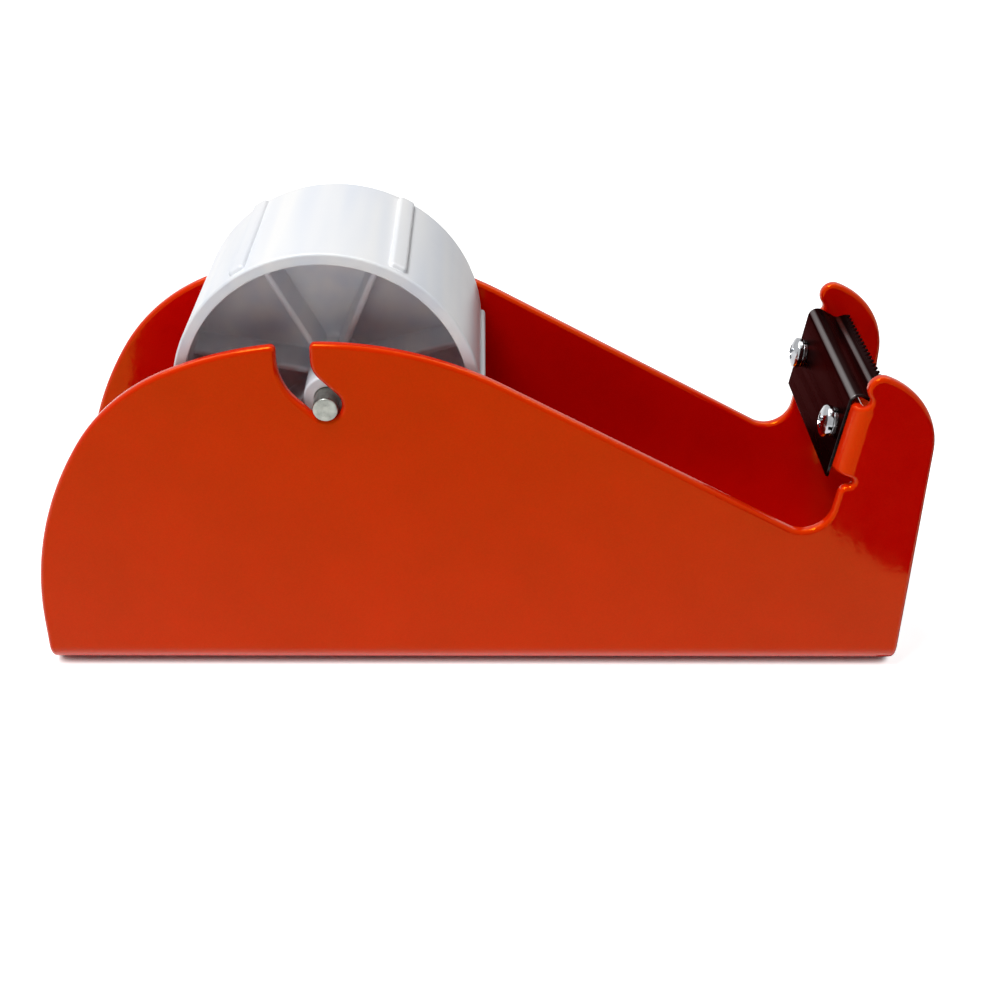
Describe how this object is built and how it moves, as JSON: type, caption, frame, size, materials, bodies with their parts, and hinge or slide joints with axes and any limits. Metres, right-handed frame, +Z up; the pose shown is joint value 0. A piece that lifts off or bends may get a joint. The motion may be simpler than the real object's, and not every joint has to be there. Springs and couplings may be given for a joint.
{
  "type": "bench tape dispenser",
  "caption": "Bench tape dispenser: folded steel channel with a white tape hub on a lift-out axle and a serrated cutter blade between its front ears.",
  "frame": {"origin": "centre of the footprint, on the bench the dispenser stands on", "axes": "+X forward from the tail to the blade, +Y to the dispenser's left side (away from the picture's camera), +Z up"},
  "size_m": [0.222, 0.0606, 0.1134],
  "materials": {
    "orange_paint": "glossy powder coat, red-orange",
    "pad_rubber": "matt black sheet",
    "rod_steel": "bright drawn bar, sawn ends",
    "white_plastic": "moulded, satin to glossy white",
    "black_paint": "glossy black",
    "screw_chrome": "bright plated",
    "washer_steel": "dark spring steel",
    "nut_steel": "zinc plated"
  },
  "bodies": {
    "body": {"channel_body": "orange_paint", "base_pad": "pad_rubber", "cutter_blade": "black_paint", "blade_screw_right": "screw_chrome", "blade_screw_left": "screw_chrome", "spring_washer_right": "washer_steel", "spring_washer_left": "washer_steel", "blade_nut_right": "nut_steel", "blade_nut_left": "nut_steel"},
    "axle": {"axle_rod": "rod_steel"},
    "hub": {"tape_hub": "white_plastic"}
  },
  "joints": [
    {"name": "axle_lift_out", "type": "hinge", "parent": "body", "child": "axle", "pos_m": [-0.0192, 0, 0.0942], "axis": [0, 1, 0], "range_deg": [0, 80]},
    {"name": "hub_spin", "type": "hinge", "parent": "axle", "child": "hub", "pos_m": [-0.0354, 0, 0.0766], "axis": [0, 1, 0], "continuous": true}
  ]
}
